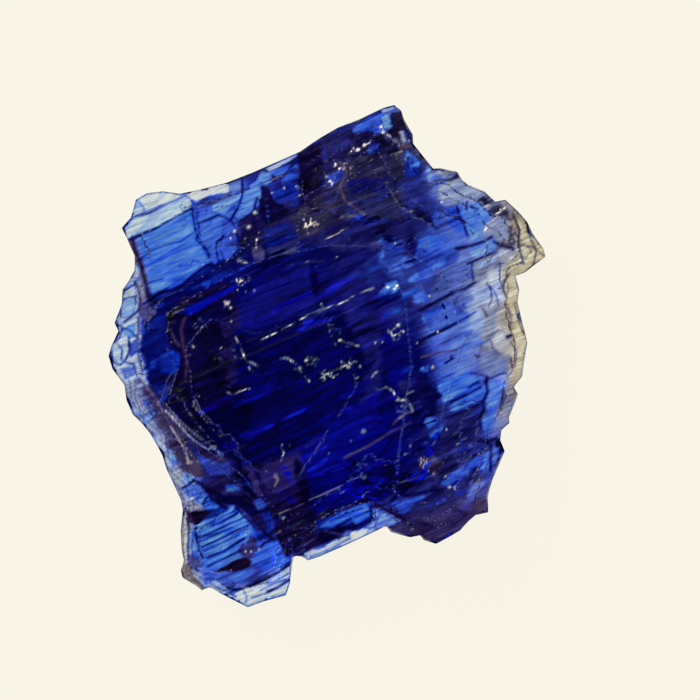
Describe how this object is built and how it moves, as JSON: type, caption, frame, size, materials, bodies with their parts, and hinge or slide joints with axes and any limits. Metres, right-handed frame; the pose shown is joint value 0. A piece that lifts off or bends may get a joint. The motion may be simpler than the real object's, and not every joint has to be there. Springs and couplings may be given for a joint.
{
  "type": "rough tanzanite",
  "caption": "Rough broken flake of clear blue-violet crystal, stepped cleavage plates with a thin jagged rim, lying on a small flat spot; a display or gem-rough specimen.",
  "frame": {"origin": "centre of the bounding box in plan, at the flat spot the stone rests on", "axes": "+Z out of the broad face that the picture shows, +X to the picture's right, +Y to the picture's top, along the stone's longest side"},
  "size_m": [0.0208, 0.024, 0.0073],
  "materials": {
    "crystal": "clear blue-violet crystal, glassy on fresh cleavage faces, finely striated along the grain, paler and greyer at the thin rim"
  },
  "bodies": {
    "root": {"tanzanite": "crystal"}
  },
  "joints": []
}
